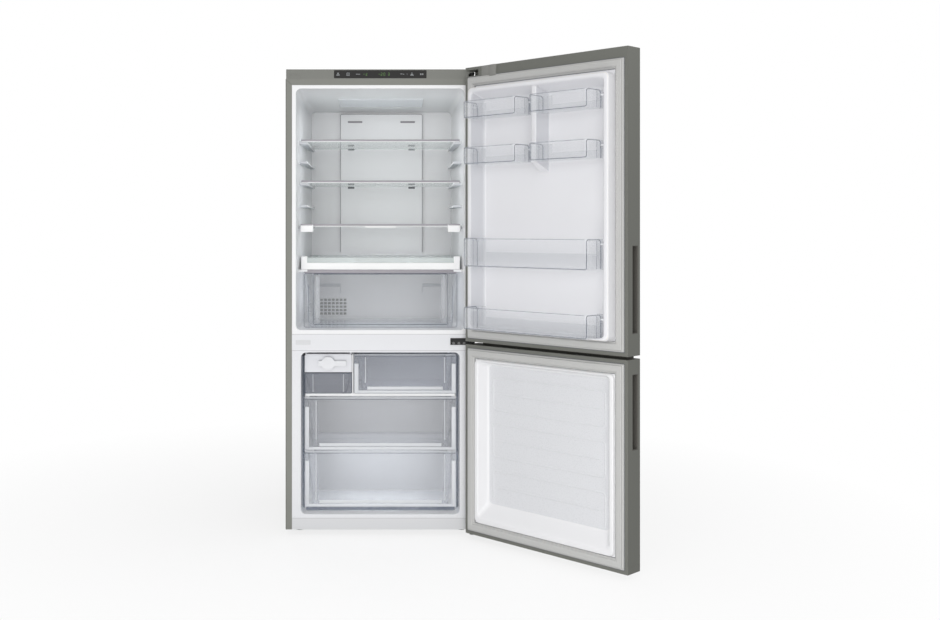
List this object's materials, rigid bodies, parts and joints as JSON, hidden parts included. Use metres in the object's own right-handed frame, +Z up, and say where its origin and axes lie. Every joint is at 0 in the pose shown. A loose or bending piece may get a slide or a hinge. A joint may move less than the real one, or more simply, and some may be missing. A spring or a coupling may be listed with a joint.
{
  "type": "fridge freezer",
  "caption": "Free-standing fridge above a freezer, steel doors open, glass shelves, clear drawers and door baskets.",
  "frame": {"origin": "middle of the cabinet's footprint on the floor", "axes": "+Z up, +X to the hinge side, +Y to the back; the doors open towards -Y"},
  "size_m": [1.1988, 1.1987, 1.72],
  "materials": {
    "steel": "satin",
    "grey_plastic": "satin",
    "galvanised": "satin",
    "foam": "matte",
    "white_liner": "gloss",
    "white_trim": "gloss",
    "lamp": "satin",
    "clear": "gloss",
    "shelf_glass": "gloss",
    "dark_plastic": "gloss",
    "dark_metal": "satin",
    "zinc": "satin",
    "fin_metal": "satin",
    "seal": "matte"
  },
  "bodies": {
    "cabinet": {"cabinet_shell": "steel", "top_cover": "grey_plastic", "hinge_hole_caps": "grey_plastic", "back_panel": "galvanised", "base_pan": "galvanised", "cabinet_foam": "foam", "fridge_liner": "white_liner", "freezer_liner": "white_liner", "freezer_duct_panel": "white_liner", "fridge_duct_cover": "white_liner", "centre_beam_cover": "white_trim", "kick_plate": "white_trim", "crisper_cover_frame": "white_trim", "freezer_shelf": "white_trim", "ice_maker_housing": "white_trim", "lamp_cover": "lamp", "crisper_cover_glass": "shelf_glass", "control_panel": "dark_plastic", "drip_tray": "dark_plastic", "cord_inlet": "dark_plastic", "front_feet": "dark_plastic", "middle_hinge": "dark_metal", "top_hinge": "dark_metal", "bottom_hinge": "dark_metal", "compressor": "dark_metal", "fan_motor": "dark_metal", "hinge_screws": "zinc", "evaporator": "fin_metal"},
    "fridge_door": {"fridge_door_skin": "steel", "fridge_door_top_cap": "grey_plastic", "fridge_door_bottom_cap": "grey_plastic", "fridge_door_foam": "foam", "fridge_door_liner": "white_liner", "fridge_door_handle": "dark_plastic", "fridge_door_gasket": "seal"},
    "freezer_door": {"freezer_door_skin": "steel", "freezer_door_top_cap": "grey_plastic", "freezer_door_bottom_cap": "grey_plastic", "freezer_door_foam": "foam", "freezer_door_liner": "white_liner", "freezer_door_handle": "dark_plastic", "freezer_door_gasket": "seal"},
    "shelf_1": {"shelf_1": "shelf_glass"},
    "shelf_2": {"shelf_2": "shelf_glass"},
    "crisper_drawer": {"crisper_drawer": "clear"},
    "drawer_top": {"drawer_top": "clear"},
    "drawer_middle": {"drawer_middle": "clear"},
    "drawer_bottom": {"drawer_bottom": "clear"},
    "ice_bin": {"ice_bin": "clear"},
    "ice_tray": {"ice_tray": "white_trim"},
    "basket_upper_hinge_side": {"basket_upper_hinge_side": "clear"},
    "basket_upper_free_side": {"basket_upper_free_side": "clear"},
    "basket_lower_hinge_side": {"basket_lower_hinge_side": "clear"},
    "basket_lower_free_side": {"basket_lower_free_side": "clear"},
    "basket_middle": {"basket_middle": "clear"},
    "basket_bottom": {"basket_bottom": "clear"},
    "shelf_3": {"shelf_3": "shelf_glass", "shelf_3_brackets": "white_trim"},
    "fan": {"fan_blade": "white_trim"},
    "rollers": {"rear_rollers": "dark_plastic"}
  },
  "joints": [
    {"name": "fridge_door_hinge", "type": "hinge", "parent": "cabinet", "child": "fridge_door", "pos_m": [0.337, -0.356, 0.72], "axis": [0, 0, 1], "range_deg": [-134, 0]},
    {"name": "freezer_door_hinge", "type": "hinge", "parent": "cabinet", "child": "freezer_door", "pos_m": [0.337, -0.356, 0.019], "axis": [0, 0, 1], "range_deg": [-134, 0]},
    {"name": "shelf_1_slide", "type": "slide", "parent": "cabinet", "child": "shelf_1", "axis": [0, -1, 0], "range_m": [0, 0.28]},
    {"name": "shelf_2_slide", "type": "slide", "parent": "cabinet", "child": "shelf_2", "axis": [0, -1, 0], "range_m": [0, 0.28]},
    {"name": "shelf_3_slide", "type": "slide", "parent": "cabinet", "child": "shelf_3", "axis": [0, -1, 0], "range_m": [0, 0.28]},
    {"name": "crisper_drawer_slide", "type": "slide", "parent": "cabinet", "child": "crisper_drawer", "axis": [0, -1, 0], "range_m": [0, 0.28]},
    {"name": "drawer_top_slide", "type": "slide", "parent": "cabinet", "child": "drawer_top", "axis": [0, -1, 0], "range_m": [0, 0.28]},
    {"name": "drawer_middle_slide", "type": "slide", "parent": "cabinet", "child": "drawer_middle", "axis": [0, -1, 0], "range_m": [0, 0.28]},
    {"name": "drawer_bottom_slide", "type": "slide", "parent": "cabinet", "child": "drawer_bottom", "axis": [0, -1, 0], "range_m": [0, 0.25]},
    {"name": "ice_bin_slide", "type": "slide", "parent": "cabinet", "child": "ice_bin", "axis": [0, -1, 0], "range_m": [0, 0.18]},
    {"name": "basket_upper_hinge_side_lift", "type": "slide", "parent": "fridge_door", "child": "basket_upper_hinge_side", "axis": [0, 0, 1], "range_m": [0, 0.02]},
    {"name": "basket_upper_free_side_lift", "type": "slide", "parent": "fridge_door", "child": "basket_upper_free_side", "axis": [0, 0, 1], "range_m": [0, 0.02]},
    {"name": "basket_lower_hinge_side_lift", "type": "slide", "parent": "fridge_door", "child": "basket_lower_hinge_side", "axis": [0, 0, 1], "range_m": [0, 0.02]},
    {"name": "basket_lower_free_side_lift", "type": "slide", "parent": "fridge_door", "child": "basket_lower_free_side", "axis": [0, 0, 1], "range_m": [0, 0.02]},
    {"name": "basket_middle_lift", "type": "slide", "parent": "fridge_door", "child": "basket_middle", "axis": [0, 0, 1], "range_m": [0, 0.02]},
    {"name": "basket_bottom_lift", "type": "slide", "parent": "fridge_door", "child": "basket_bottom", "axis": [0, 0, 1], "range_m": [0, 0.02]},
    {"name": "ice_tray_twist", "type": "hinge", "parent": "cabinet", "child": "ice_tray", "pos_m": [-0.19473, -0.2765, 0.62903], "axis": [0, -1, 0], "range_deg": [-150, 0], "stiffness_Nm_per_rad": 0.05},
    {"name": "fan_spin", "type": "hinge", "parent": "cabinet", "child": "fan", "pos_m": [0, 0.1775, 0.589], "axis": [0, 1, 0], "continuous": true},
    {"name": "roller_spin", "type": "hinge", "parent": "cabinet", "child": "rollers", "pos_m": [0, 0.2625, 0.0095], "axis": [1, 0, 0], "continuous": true}
  ]
}
